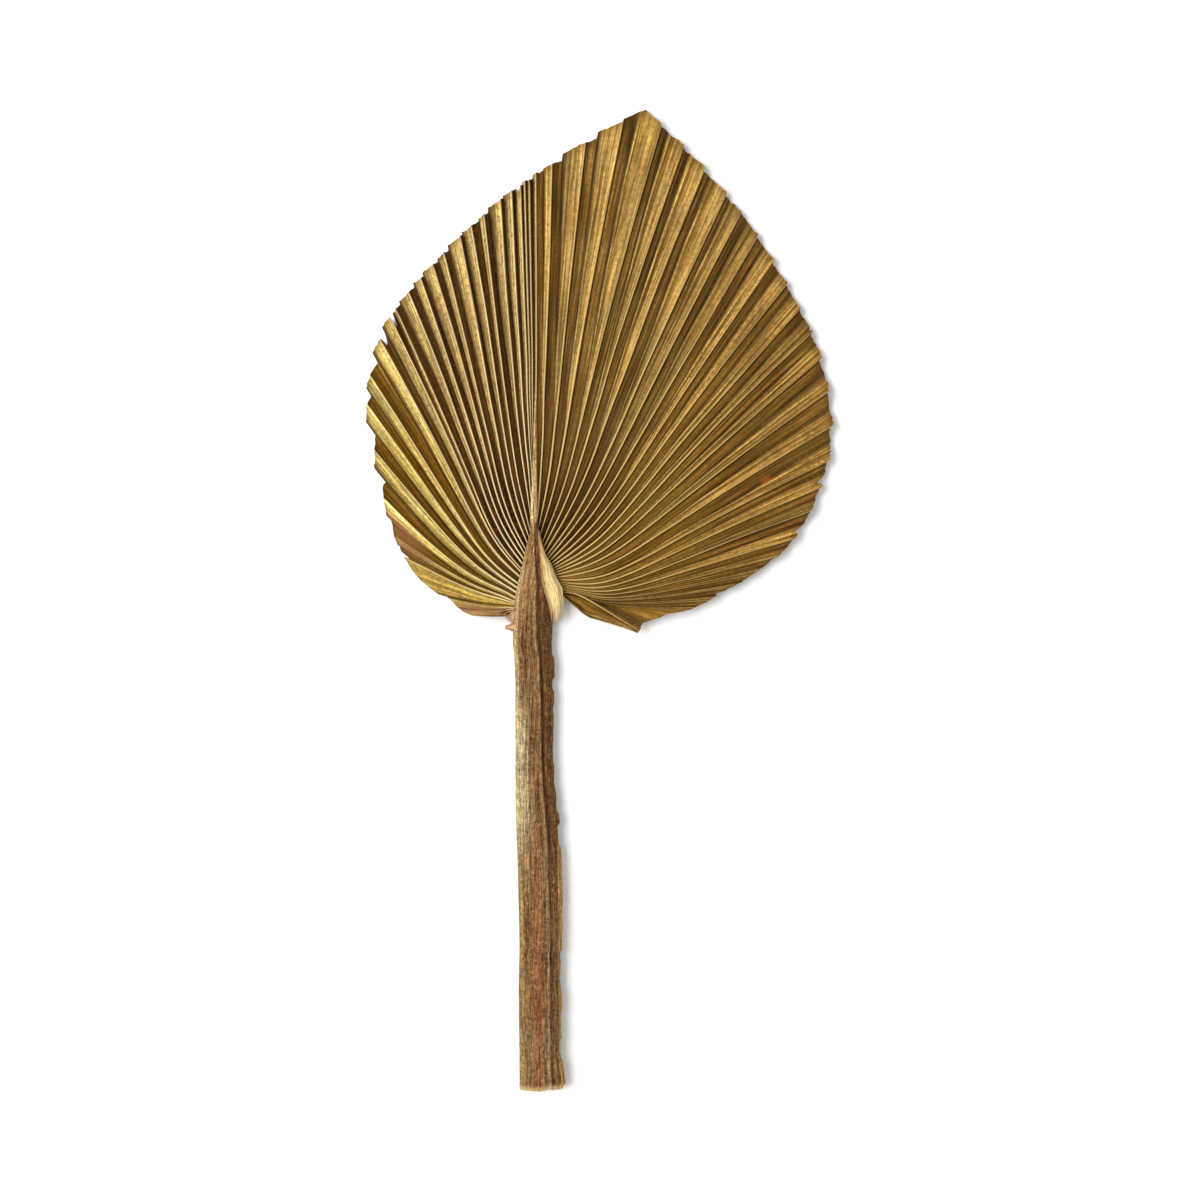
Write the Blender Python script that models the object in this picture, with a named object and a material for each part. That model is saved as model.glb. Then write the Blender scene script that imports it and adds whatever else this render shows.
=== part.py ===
"""A dried, trimmed fan palm leaf, lying on Z = 0 with its upper side showing.

Metres, +Y from the cut stalk towards the blade's tip, +Z up. The leaf grew in one
piece, so it is one solid: a pleated blade joined to its stalk. Plan shapes are set
in millimetres from the hub, the point where the stalk enters the blade. Bearings
and headings are degrees clockwise from +Y.
"""

import math

import bmesh
import bpy
import numpy as np

MM = 0.001

# Driving dimensions
STALK_LENGTH = 288.3
TIP_BEARING = 12.8
TIP_DISTANCE = 278.0
BLADE_THICKNESS = 1.0
PLEAT_SLOPE = 0.95
DEEPEST_PLEAT = 6.4
LOBE_LIFT = 6.0
STATIONS = 15
CROWDING = 1.35
SECTION_POINTS = 16
SECTION_SQUARENESS = 2.6

# The trimmed margin: its distance from the hub at each bearing
MARGIN_LEFT = (
    (-100, 49.5),
    (-88, 64.4),
    (-76, 78.6),
    (-64, 94.4),
    (-52, 115.5),
    (-40, 147.9),
    (-28, 173.3),
    (-16, 195.9),
    (-4, 224.2),
    (5, 249.5),
    (TIP_BEARING, TIP_DISTANCE),
)
MARGIN_RIGHT = (
    (TIP_BEARING, TIP_DISTANCE),
    (15.2, 272.5),
    (20, 260.5),
    (38, 225.9),
    (56, 200.5),
    (68, 177.9),
    (80, 148.7),
    (92, 107.2),
    (104, 76.9),
    (112, 64.0),
)

# Guide ribs: bearing at the margin, x and y where the rib leaves the stalk,
# heading as it leaves, heading as it reaches the margin
RIB_GUIDES = (
    (-97, -13.8, -12.8, -82, -75),
    (-75, -13.8, -9.7, -64, -59),
    (-58, -13.5, -5.5, -58, -43),
    (-42, -11.8, -0.4, -56, -35),
    (-28, -9.4, 8.9, -44, -26),
    (-14, -5.4, 21.6, -27, -13),
    (-3, -1.8, 35.7, -3, -2),
    (0, -0.8, 36.4, 1, 0),
    (5, 1.1, 35.2, 11, 5.5),
    (16, 3.6, 23.9, 25, 17),
    (30, 7.4, 15.4, 43, 29),
    (45, 10.2, 9.2, 64, 44),
    (60, 12.2, 5.1, 81, 58),
    (76, 14.8, 0.3, 103, 71),
    (92, 16.6, -2.2, 108, 82),
    (112, 17.7, -6.2, 108, 112),
)
LEAVING_PULL = 0.24
ARRIVING_PULL = 0.79

# Bearings of the pleats' crests at the margin, from the left lobe to the right one
CRESTS_LEFT = (
    -92, -84, -78, -71, -60.5, -50, -43, -38.5, -32.5, -28.5, -26, -23.5,
    -20.5, -18, -15.5, -12.5, -10, -8, -5.5, -3.5, -1.8,
)
CRESTS_RIGHT = (
    0, 2.2, 6.4, 10.6, 15, 18.5, 22, 26, 29, 32.5, 36, 40, 43.5, 47, 51.5,
    56.5, 61.5, 66.5, 71, 75.5, 80, 84, 87.5, 91, 97, 104,
)
BLADE_EDGES = (-97, 110)

# The stalk and the rib that it becomes in the blade: y, left and right edge,
# underside and top
STALK_SECTIONS = (
    (-STALK_LENGTH, -9.7, 15.2, 0.0, 12.0),
    (-272, -9.7, 13.8, 0.0, 12.5),
    (-237, -10.2, 13.7, 0.0, 12.5),
    (-203, -9.8, 13.6, 0.0, 12.2),
    (-157, -10.9, 13.2, 0.0, 11.8),
    (-123, -12.2, 10.8, 0.0, 11.4),
    (-100, -12.0, 9.4, 0.0, 11.2),
    (-66, -12.1, 9.3, 0.0, 11.0),
    (-43, -12.8, 9.2, 0.0, 10.8),
    (-28, -13.8, 11.0, 0.0, 10.6),
    (-12, -15.4, 18.4, 0.2, 10.4),
    (-4, -15.0, 18.6, 0.4, 10.2),
    (4, -13.4, 15.2, 0.6, 10.0),
    (13, -10.2, 10.2, 0.8, 9.4),
    (23, -7.2, 6.2, 1.0, 8.6),
    (34, -4.4, 3.0, 1.2, 7.6),
    (60, -3.0, 1.4, 1.5, 6.4),
    (104, -1.7, 0.7, 2.4, 5.2),
)


def clear_scene():
    for obj in list(bpy.data.objects):
        bpy.data.objects.remove(obj, do_unlink=True)


def smooth(x, knots, values):
    """A curve through the knots that never swings past them."""
    knots = np.asarray(knots, float)
    values = np.asarray(values, float)
    step = np.diff(values) / np.diff(knots)
    before, after = step[:-1], step[1:]
    same_way = before * after > 0
    total = np.where(same_way, before + after, 1.0)
    inner = np.where(same_way, 2 * before * after / total, 0.0)
    slope = np.concatenate([step[:1], inner, step[-1:]])
    x = np.clip(x, knots[0], knots[-1])
    i = np.clip(np.searchsorted(knots, x, side="right") - 1, 0, len(knots) - 2)
    width = knots[i + 1] - knots[i]
    t = (x - knots[i]) / width
    return (
        values[i] * (1 + 2 * t) * (1 - t) ** 2
        + values[i + 1] * t * t * (3 - 2 * t)
        + width * t * (1 - t) * (slope[i] * (1 - t) - slope[i + 1] * t)
    )


def heading(degrees):
    """Unit vectors for headings clockwise from +Y."""
    angle = np.radians(degrees)
    return np.stack([np.sin(angle), np.cos(angle)], axis=-1)


def margin_distance(bearing):
    left = smooth(bearing, *zip(*MARGIN_LEFT))
    right = smooth(bearing, *zip(*MARGIN_RIGHT))
    return np.where(bearing < TIP_BEARING, left, right)


def rib_points(bearing, t):
    """Plan points of the ribs: t runs from 0 at the stalk to 1 at the margin."""
    guides = np.array(RIB_GUIDES, float)
    x, y, leaving, arriving = (smooth(bearing, guides[:, 0], column) for column in guides[:, 1:].T)
    start = np.stack([x, y], axis=-1)
    end = heading(bearing) * margin_distance(bearing)[:, None]
    length = np.linalg.norm(end - start, axis=-1)[:, None]
    near = start + heading(leaving) * length * LEAVING_PULL
    far = end - heading(arriving) * length * ARRIVING_PULL
    t = t[:, None, None]
    return (1 - t) ** 3 * start + 3 * (1 - t) ** 2 * t * near + 3 * (1 - t) * t**2 * far + t**3 * end


def fold_bearings():
    """Valleys and crests in turn, starting and ending on the blade's two free edges."""
    crests = np.array(CRESTS_LEFT + CRESTS_RIGHT, float)
    valleys = (crests[1:] + crests[:-1]) / 2
    folds = np.empty(2 * len(crests) + 1)
    folds[1::2] = crests
    folds[2:-1:2] = valleys
    folds[0], folds[-1] = BLADE_EDGES
    return folds


def fold_heights(plan, folds, t):
    """Height of the blade's upper face at each fold: steep small pleats by the stalk, deep ones at the margin."""
    gaps = np.linalg.norm(np.diff(plan, axis=1), axis=-1)
    to_left = np.concatenate([gaps[:, :1], gaps], axis=1)
    to_right = np.concatenate([gaps, gaps[:, -1:]], axis=1)
    half_depth = np.minimum(PLEAT_SLOPE * (to_left + to_right) / 2, DEEPEST_PLEAT) / 2
    up_or_down = np.where(np.arange(len(folds)) % 2, 1, -1)
    lift = LOBE_LIFT * (np.abs(folds) / 100) ** 2 * t[:, None] ** 2
    return DEEPEST_PLEAT / 2 + BLADE_THICKNESS + lift + up_or_down * half_depth


def make_blade():
    """A grid bent into the fan of pleats, then given its thickness straight down."""
    folds = fold_bearings()
    t = np.linspace(0, 1, STATIONS) ** CROWDING
    plan = rib_points(folds, t)
    height = fold_heights(plan, folds, t)

    mesh = bmesh.new()
    bmesh.ops.create_grid(mesh, x_segments=len(folds) - 1, y_segments=STATIONS - 1, size=0.5)
    for vert in mesh.verts:
        column = round((vert.co.x + 0.5) * (len(folds) - 1))
        row = round((vert.co.y + 0.5) * (STATIONS - 1))
        vert.co = (*plan[row, column] * MM, height[row, column] * MM)
    sheet = bmesh.ops.extrude_face_region(mesh, geom=mesh.faces[:])
    lower = [item for item in sheet["geom"] if isinstance(item, bmesh.types.BMVert)]
    bmesh.ops.translate(mesh, verts=lower, vec=(0, 0, -BLADE_THICKNESS * MM))
    bmesh.ops.recalc_face_normals(mesh, faces=mesh.faces[:])
    return to_object(mesh, "blade_sheet")


def section_ring(mesh, y, left, right, bottom, top):
    """One cross-section of the stalk: an oval with flattened sides."""
    ring = []
    for i in range(SECTION_POINTS):
        angle = 2 * math.pi * (i + 0.5) / SECTION_POINTS
        across, up = math.cos(angle), math.sin(angle)
        across = math.copysign(abs(across) ** (2 / SECTION_SQUARENESS), across)
        up = math.copysign(abs(up) ** (2 / SECTION_SQUARENESS), up)
        x = (left + right) / 2 + across * (right - left) / 2
        z = (bottom + top) / 2 + up * (top - bottom) / 2
        ring.append(mesh.verts.new((x * MM, y * MM, z * MM)))
    return ring


def make_stalk():
    """A loft through the stalk's sections, closed at the cut and at the rib's far end."""
    mesh = bmesh.new()
    rings = [section_ring(mesh, *section) for section in STALK_SECTIONS]
    for near, far in zip(rings, rings[1:]):
        for i in range(SECTION_POINTS):
            after = (i + 1) % SECTION_POINTS
            mesh.faces.new((near[i], near[after], far[after], far[i]))
    mesh.faces.new(rings[0])
    mesh.faces.new(rings[-1])
    bmesh.ops.recalc_face_normals(mesh, faces=mesh.faces[:])
    return to_object(mesh, "stalk_loft")


def to_object(mesh, name):
    data = bpy.data.meshes.new(name)
    mesh.to_mesh(data)
    mesh.free()
    return bpy.data.objects.new(name, data)


def join(target, other):
    union = target.modifiers.new("union", "BOOLEAN")
    union.operation = "UNION"
    union.solver = "EXACT"
    union.object = other


def rest_on_floor(obj):
    """Puts the lowest point on Z = 0 and the plan's centre on the Z axis."""
    points = np.array([vert.co for vert in obj.data.vertices])
    low, high = points.min(axis=0), points.max(axis=0)
    shift = (-(low[0] + high[0]) / 2, -(low[1] + high[1]) / 2, -low[2])
    for vert in obj.data.vertices:
        vert.co.x += shift[0]
        vert.co.y += shift[1]
        vert.co.z += shift[2]


def leaf_material():
    material = bpy.data.materials.new("dried_leaf")
    material.use_nodes = True
    surface = material.node_tree.nodes["Principled BSDF"]
    surface.inputs["Base Color"].default_value = (0.42, 0.29, 0.10, 1.0)
    surface.inputs["Roughness"].default_value = 0.7
    surface.inputs["Metallic"].default_value = 0.0
    material.diffuse_color = (0.42, 0.29, 0.10, 1.0)
    return material


def build():
    clear_scene()
    collection = bpy.data.collections.new("fan_palm_leaf")
    bpy.context.scene.collection.children.link(collection)

    blade = make_blade()
    stalk = make_stalk()
    for obj in (blade, stalk):
        collection.objects.link(obj)
    join(blade, stalk)
    graph = bpy.context.evaluated_depsgraph_get()
    joined = bpy.data.meshes.new_from_object(blade.evaluated_get(graph))
    for obj in (blade, stalk):
        bpy.data.objects.remove(obj, do_unlink=True)

    joined.name = "palm_leaf"
    joined.materials.clear()
    joined.materials.append(leaf_material())
    leaf = bpy.data.objects.new("palm_leaf", joined)
    collection.objects.link(leaf)
    rest_on_floor(leaf)


build()
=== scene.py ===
"""The looks of a dried, trimmed fan palm leaf, lying face up on a pale floor.

Plan shapes are in millimetres from the hub, the point where the stalk enters the
blade; +Y runs to the tip and +Z up. Bearings and headings are degrees clockwise
from +Y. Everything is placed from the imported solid's box.
"""

import math

import bpy
import numpy as np
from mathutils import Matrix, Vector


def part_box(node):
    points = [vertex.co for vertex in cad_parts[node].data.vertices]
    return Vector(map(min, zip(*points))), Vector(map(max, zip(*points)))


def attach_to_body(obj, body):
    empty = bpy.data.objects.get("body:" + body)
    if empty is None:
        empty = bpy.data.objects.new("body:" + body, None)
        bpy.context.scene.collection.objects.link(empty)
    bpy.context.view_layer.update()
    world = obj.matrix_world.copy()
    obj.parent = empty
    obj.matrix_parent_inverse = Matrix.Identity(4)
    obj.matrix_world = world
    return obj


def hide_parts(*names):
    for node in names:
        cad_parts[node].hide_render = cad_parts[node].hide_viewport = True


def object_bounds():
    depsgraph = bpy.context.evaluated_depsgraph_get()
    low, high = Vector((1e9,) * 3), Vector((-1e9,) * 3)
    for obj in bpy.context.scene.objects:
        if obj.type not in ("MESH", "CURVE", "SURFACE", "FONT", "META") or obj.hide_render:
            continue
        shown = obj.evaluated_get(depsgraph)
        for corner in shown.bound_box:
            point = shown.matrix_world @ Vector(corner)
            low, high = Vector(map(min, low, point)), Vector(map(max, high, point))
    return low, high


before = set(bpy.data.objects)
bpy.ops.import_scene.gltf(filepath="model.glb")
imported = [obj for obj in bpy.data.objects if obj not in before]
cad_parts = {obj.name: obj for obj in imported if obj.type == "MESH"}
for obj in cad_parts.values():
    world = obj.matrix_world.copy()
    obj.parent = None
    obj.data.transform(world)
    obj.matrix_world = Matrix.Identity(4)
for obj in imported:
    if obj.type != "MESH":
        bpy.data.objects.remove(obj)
cad_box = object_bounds()

MM = 0.001
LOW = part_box("palm_leaf")[0]

# Driving dimensions, as in the solid
STALK_LENGTH = 288.3
LEFT_REACH = 95.4
TIP_BEARING = 12.8
TIP_DISTANCE = 278.0
HUB = np.array([LOW[0] / MM + LEFT_REACH, LOW[1] / MM + STALK_LENGTH, 0.0])

# Blade sheet
SHEET_THICKNESS = 0.6
MID_HEIGHT = 4.4
DEEPEST_PLEAT = 6.8
LOBE_LIFT = 5.5
HOLLOWNESS = 1.45
ROWS = 100
CROWDING = 1.25
RIB_RADIUS = 0.45
RIB_HEIGHT = 0.28

# The trimmed margin: its distance from the hub at each bearing, chosen from what a
# program measured along the photo's outline
MARGIN_LEFT = (
    (-124, 28),
    (-116, 40),
    (-107, 46),
    (-100, 49.5),
    (-88, 64),
    (-76, 79.5),
    (-64, 94.4),
    (-52, 115.5),
    (-40, 149),
    (-32.3, 167),
    (-28, 175.5),
    (-16, 195.9),
    (-4, 224.2),
    (5, 249.5),
    (TIP_BEARING, TIP_DISTANCE),
)
MARGIN_RIGHT = (
    (TIP_BEARING, TIP_DISTANCE),
    (15.2, 272.5),
    (20, 260.5),
    (38, 225.9),
    (56, 200.5),
    (68, 177.9),
    (80, 148.5),
    (92, 107.2),
    (100, 86),
    (102.5, 78),
    (111, 64),
    (115.6, 63.8),
)

# Guide ribs: bearing at the margin, x and y where the rib leaves the stalk,
# heading as it leaves, heading as it reaches the margin. Most rows and the two pulls
# are the rounded result of a least-squares fit to the photo, not set by hand
RIB_GUIDES = (
    (-122, -14.0, -18.0, -100, -86),
    (-107, -13.8, -14.2, -90, -84),
    (-97, -13.8, -12.8, -82, -75),
    (-75, -13.8, -9.7, -64, -59),
    (-58, -13.5, -5.5, -58, -43),
    (-42, -11.8, -0.4, -56, -35),
    (-28, -9.4, 8.9, -44, -26),
    (-14, -5.4, 21.6, -27, -13),
    (-3, -1.8, 35.7, -3, -2),
    (0, -0.8, 36.4, 1, 0),
    (5, 1.1, 35.2, 11, 5.5),
    (16, 3.6, 23.9, 25, 17),
    (30, 7.4, 15.4, 43, 29),
    (45, 10.2, 9.2, 64, 44),
    (60, 12.2, 5.1, 81, 58),
    (76, 14.8, 0.3, 103, 71),
    (92, 16.6, -2.2, 108, 82),
    (104, 17.0, -3.6, 106, 100),
    (110.5, 16.6, -3.9, 96, 119),
    (114, 16.0, -4.0, 94, 121),
    (115.6, 15.0, -6.5, 137, 112),
)
LEAVING_PULL = 0.24
ARRIVING_PULL = 0.79
ROOT_DEPTH = 1.8
FOLD_BULGE = 2.4

# Bearings of the pleats' crests at the margin, from the left lobe to the right one
CRESTS = (
    -108, -99, -78, -71.3, -60.5, -50.2, -43.1, -38.4, -32.5, -28.7, -27.1, -23.5, -20.7, -17.9,
    -15.7, -12.5, -10.2, -8.1, -5.4, -3.6, -2.2, -1.6, -1.0, -0.1, 2.2, 6.4, 10.6, 15.1, 18.5,
    22, 25.9, 28.8, 32.5, 36.3, 39.8, 43.7, 47.4, 51.6, 56.6, 61.8, 67, 71, 75, 79.8, 83.4,
    87.2, 90.6, 95, 99.5, 114,
)
BLADE_EDGES = (-122, 115.6)
HALVES_MEET = 23

# How steep the pleats' sides are at each bearing
STEEPNESS = (
    (-122, 0.3), (-99, 0.35), (-78, 0.5), (-60, 0.8), (-45, 0.95), (-20, 1.1), (-8, 1.2), (-3.2, 1.6),
    (-2.0, 2.6), (-0.6, 2.6), (0.5, 1.0), (4, 0.6), (15, 0.5), (35, 0.55), (60, 0.55), (85, 0.6),
    (100, 0.8), (106, 1.1), (118, 0.9),
)

# Where the valley lies between a crest and the next one clockwise, at the margin
VALLEY_SHARE = (
    (-122, 0.5), (-103, 0.3), (-88, 0.08), (-74.6, 0.6), (-65.9, 0.5), (-55, 0.53),
    (-46.6, 0.48), (-40.7, 0.43),
    (-35.4, 0.53), (-30.6, 0.34), (-27.9, 0.6), (-25.3, 0.36), (-22.1, 0.43), (-19.3, 0.2), (-16.8, 0.45),
    (-14.1, 0.28), (-11.3, 0.12), (-9.1, 0.55), (-6.7, 0.22), (-4.5, 0.17), (-2.5, 0.35), (0, 0.5), (4, 0.32),
    (12, 0.24), (20, 0.24), (40, 0.34), (70, 0.4), (98, 0.5), (106, 0.72), (118, 0.7),
)
VALLEY_SHARE_AT_HUB = ((-122, 0.35), (-70, 0.38), (-48, 0.5), (-30, 0.68), (0, 0.8), (118, 0.78))

# How soon the side that faces the light turns bright: lower is sooner
BRIGHTENING = ((-122, 0.45), (-80, 0.5), (-60, 0.56), (-35, 0.66), (0, 0.7), (118, 0.8))

# The stalk: y, left and right edge, underside and top. The edges below the hub are
# close to what a program measured along the photo's outline
STALK_SECTIONS = (
    (-288.3, -9.7, 15.0, 0.2, 11.6),
    (-284, -9.7, 15.0, 0.0, 12.2),
    (-272, -9.7, 13.9, 0.0, 12.5),
    (-237, -10.2, 13.7, 0.0, 12.5),
    (-203, -9.8, 13.6, 0.0, 12.2),
    (-157, -10.9, 13.2, 0.0, 11.8),
    (-123, -12.0, 11.2, 0.0, 11.4),
    (-100, -12.0, 9.6, 0.0, 11.2),
    (-66, -12.0, 9.4, 0.0, 11.0),
    (-43, -12.6, 8.9, 0.0, 10.8),
    (-31, -13.6, 8.7, 0.0, 10.6),
    (-20, -13.0, 9.4, 0.1, 10.5),
    (-10, -12.6, 12.0, 0.2, 10.4),
    (0, -10.9, 12.0, 0.4, 10.2),
    (10, -8.6, 8.2, 0.6, 9.8),
    (22, -5.9, 4.2, 0.9, 9.0),
    (32, -3.6, 1.6, 1.2, 8.2),
    (37, -3.7, 0.6, 1.3, 7.8),
    (60, -2.6, 0.4, 1.6, 7.2),
    (95, -1.5, 0.3, 2.2, 6.2),
    (128, -0.6, 0.2, 3.0, 4.8),
)

# The chips that stand out on the stalk's right edge: from, to, how far out
CHIPS = (
    (-41, -54, 1.3), (-60, -69, 0.7), (-130, -137, 1.4), (-149, -209, 1.2), (-232, -243, 0.9),
    (-256, -259, 0.9), (-271, -286, 1.4),
)
STALK_STEP = 1.1
SIDE_SQUARENESS = 2.5
ACROSS_TOP = 96
ACROSS_UNDER = 40
SAWN_STEP = 1.2
SAW_REACH = 14
CUT_RINGS = (0.97, 0.8, 0.6, 0.4, 0.2, 0.06)
GROOVE_SHARE = ((-290, 0.8), (-190, 0.79), (-100, 0.74), (-40, 0.70), (0, 0.52), (37, 0.5))

# The papery flap over the stalk's right shoulder: y, left and right edge, height
FLAP_SECTIONS = (
    (31, 0.4, 1.6, 8.9),
    (25, 1.0, 2.9, 9.4),
    (18, 1.6, 5.0, 9.9),
    (10.5, 2.3, 8.9, 10.3),
    (4, 2.8, 11.4, 10.5),
    (-3, 4.2, 14.9, 10.6),
    (-11, 6.6, 15.4, 10.6),
    (-21, 8.3, 14.6, 10.6),
)
FLAP_STRIPS = 11
FLAP_THICKNESS = 0.5
FLAP_SPLITS_BELOW = -10

FRAY_COUNT = 5
FRAY_THICKNESS = 0.45

# A small orange stain and a faded yellow spot on the blade: bearing and its reach,
# distance and its reach
STAIN = (64.3, 1.1, 144, 5.0)
FADED_SPOT = (49.0, 2.6, 197, 15.0)

# Light: the key's power, and in degrees its height, turn from the left side and softness
KEY_POWER = 3.4
KEY_HEIGHT = 50
KEY_TURN = 9
KEY_SOFTNESS = 45
FILL = 0.7
SHINE = 0.03

FLOOR_REACH = 30.0

# Angles between faces from which an edge is sharp, in degrees
BLADE_SHARP = 38
STALK_SHARP = 50

FRAME_SHARE = 0.816
LENS = 100
SENSOR = 36


def smooth(x, knots, values):
    """A curve through the knots that never swings past them."""
    knots = np.asarray(knots, float)
    values = np.asarray(values, float)
    step = np.diff(values) / np.diff(knots)
    before, after = step[:-1], step[1:]
    same_way = before * after > 0
    total = np.where(same_way, before + after, 1.0)
    inner = np.where(same_way, 2 * before * after / total, 0.0)
    slope = np.concatenate([step[:1], inner, step[-1:]])
    x = np.clip(x, knots[0], knots[-1])
    i = np.clip(np.searchsorted(knots, x, side="right") - 1, 0, len(knots) - 2)
    width = knots[i + 1] - knots[i]
    t = (x - knots[i]) / width
    return (
        values[i] * (1 + 2 * t) * (1 - t) ** 2
        + values[i + 1] * t * t * (3 - 2 * t)
        + width * t * (1 - t) * (slope[i] * (1 - t) - slope[i + 1] * t)
    )


def fade(x, low, high):
    """0 below low, 1 above high, smooth between."""
    t = np.clip((x - low) / (high - low), 0, 1)
    return t * t * (3 - 2 * t)


def drift(seed, u, v):
    """Smooth noise from -1 to 1 with about one swell for each unit of u and of v."""
    table = np.random.default_rng(seed).uniform(-1, 1, (64, 64))
    u, v = np.broadcast_arrays(np.asarray(u, float), np.asarray(v, float))
    i, j = np.floor(u).astype(int), np.floor(v).astype(int)
    a, b = u - i, v - j
    a, b = a * a * (3 - 2 * a), b * b * (3 - 2 * b)
    near = table[i % 64, j % 64] * (1 - b) + table[i % 64, (j + 1) % 64] * b
    far = table[(i + 1) % 64, j % 64] * (1 - b) + table[(i + 1) % 64, (j + 1) % 64] * b
    return near * (1 - a) + far * a


def heading(degrees):
    """Unit vectors for headings clockwise from +Y."""
    angle = np.radians(degrees)
    return np.stack([np.sin(angle), np.cos(angle)], axis=-1)


# Mesh building


def grid_faces(rows, columns):
    """Four-sided faces between neighbouring points of a grid."""
    corner = np.arange(rows - 1)[:, None] * columns + np.arange(columns - 1)
    return np.stack([corner, corner + 1, corner + columns + 1, corner + columns], axis=-1).reshape(-1, 4)


def border_of(rows, columns):
    """The grid's border points in order, anticlockwise."""
    index = np.arange(rows * columns).reshape(rows, columns)
    return np.concatenate([index[0, :-1], index[:-1, -1], index[-1, :0:-1], index[:0:-1, 0]])


def make_mesh(name, points, faces, attributes, sharp_angle):
    """An object from points in millimetres round the hub, with smooth shading and its point attributes."""
    mesh = bpy.data.meshes.new(name)
    mesh.from_pydata(((points + HUB) * MM).tolist(), [], faces if isinstance(faces, list) else faces.tolist())
    for key, values in attributes.items():
        layer = mesh.attributes.new(key, "FLOAT", "POINT")
        layer.data.foreach_set("value", np.ascontiguousarray(values, np.float32).ravel())
    mesh.shade_smooth()
    mesh.set_sharp_from_angle(angle=math.radians(sharp_angle))
    obj = bpy.data.objects.new(name, mesh)
    bpy.context.scene.collection.objects.link(obj)
    return obj


def make_sheet(name, grid, thickness, attributes, sharp_angle):
    """A closed thin sheet: the grid of upper points, its copy below, and walls round the border."""
    rows, columns = grid.shape[:2]
    upper = grid.reshape(-1, 3)
    lower = upper - np.array([0, 0, 1]) * np.broadcast_to(thickness, (rows, columns)).reshape(-1, 1)
    top = grid_faces(rows, columns)
    under = top[:, ::-1] + len(upper)
    rim = border_of(rows, columns)
    after = np.roll(rim, -1)
    walls = np.stack([rim, rim + len(upper), after + len(upper), after], axis=-1)
    points = np.concatenate([upper, lower])
    doubled = {key: np.concatenate([values.ravel()] * 2) for key, values in attributes.items()}
    doubled["underside"] = np.repeat([0.0, 1.0], len(upper))
    return make_mesh(name, points, np.concatenate([top, under, walls]), doubled, sharp_angle)


# The blade


def margin_distance(bearing):
    """How far the trimmed margin is from the hub, with a sharp tip between its two sides."""
    left = smooth(bearing, *zip(*MARGIN_LEFT))
    right = smooth(bearing, *zip(*MARGIN_RIGHT))
    return np.where(bearing < TIP_BEARING, left, right)


def rib_points(bearing, t):
    """Plan points at bearing and t, which runs from 0 at the stalk to 1 at the margin."""
    guides = np.array(RIB_GUIDES, float)
    x, y, leaving, arriving = (smooth(bearing, guides[:, 0], column) for column in guides[:, 1:].T)
    start = np.stack([x, y], axis=-1) - heading(leaving) * ROOT_DEPTH
    end = heading(bearing) * margin_distance(bearing)[..., None]
    length = np.linalg.norm(end - start, axis=-1, keepdims=True)
    near = start + heading(leaving) * length * LEAVING_PULL
    far = end - heading(arriving) * length * ARRIVING_PULL
    t = t[..., None]
    return (1 - t) ** 3 * start + 3 * (1 - t) ** 2 * t * near + 3 * (1 - t) * t**2 * far + t**3 * end


# Each pleat runs crest, valley, minor ridge, minor dip, next crest. These are the
# columns from each of them to the next
FALL = (0, 0.04, 0.12, 0.26, 0.46, 0.70, 0.95)
RISE = (0, 0.33, 0.66)
DIP = (0, 0.5)
CLIMB = (0, 0.35, 0.62, 0.82, 0.93)
STAGES = (FALL, RISE, DIP, CLIMB)


def pleat_columns(first, last):
    """Pleat, stage and share of each column, and one more to close the last pleat."""
    rows = []
    for pleat in range(first, last):
        for stage, shares in enumerate(STAGES):
            rows += [(pleat, stage, share) for share in shares]
    rows.append((last - 1, len(STAGES) - 1, 1.0))
    pleat, stage, share = np.array(rows).T
    return pleat.astype(int), stage.astype(int), share


# Where the minor ridge lies between two crests, and how far it stands out
MINOR_RIDGE = (
    (-122, 0.75), (2, 0.7), (10, 0.5), (15, 0.4), (27, 0.42), (33, 0.6), (40, 0.73), (60, 0.67), (80, 0.7),
)
MINOR_HEIGHT = (
    (-122, 0.15), (0, 0.3), (6, 0.4), (14, 0.8), (30, 1.0), (60, 0.95), (85, 0.7), (100, 0.2), (118, 0.1),
)

# Torn notches in the margin: bearing, half-width in degrees, depth
NOTCHES = (
    (-77.3, 0.9, 2.2), (-55.2, 0.4, 1.5), (-31.7, 0.5, 3.4), (-28.3, 0.35, 5.0), (-2.6, 0.3, 2.0),
    (69.9, 0.7, 2.0), (78.2, 0.9, 1.8), (92.6, 0.6, 2.0), (101.8, 1.0, 3.4),
)

# How much squarer than the outline each segment was cut
CUT_SQUARENESS = (
    (-124, 0.08), (-60, 0.1), (-45, 0.2), (-30, 0.2), (-5, 0.15), (10, 0.12), (60, 0.12), (80, 0.05),
    (118, 0.0),
)


def trimmed_by(bearing, centre, seed):
    """How far the cut stands in or out: squarer than the outline, ragged, and torn in places."""
    slope = margin_distance(centre + 0.5) - margin_distance(centre - 0.5)
    slope = slope * smooth(centre, *zip(*CUT_SQUARENESS))
    ragged = 0.35 * drift(seed, bearing * 2.3, 0.5) + 0.2 * drift(seed + 1, bearing * 6.1, 0.5)
    segment = 0.4 * drift(seed + 2, centre * 7.7, 0.5)
    torn = sum(depth * np.clip(1 - np.abs(bearing - at) / wide, 0, 1) for at, wide, depth in NOTCHES)
    return -slope * (bearing - centre) + segment + ragged - torn


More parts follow.
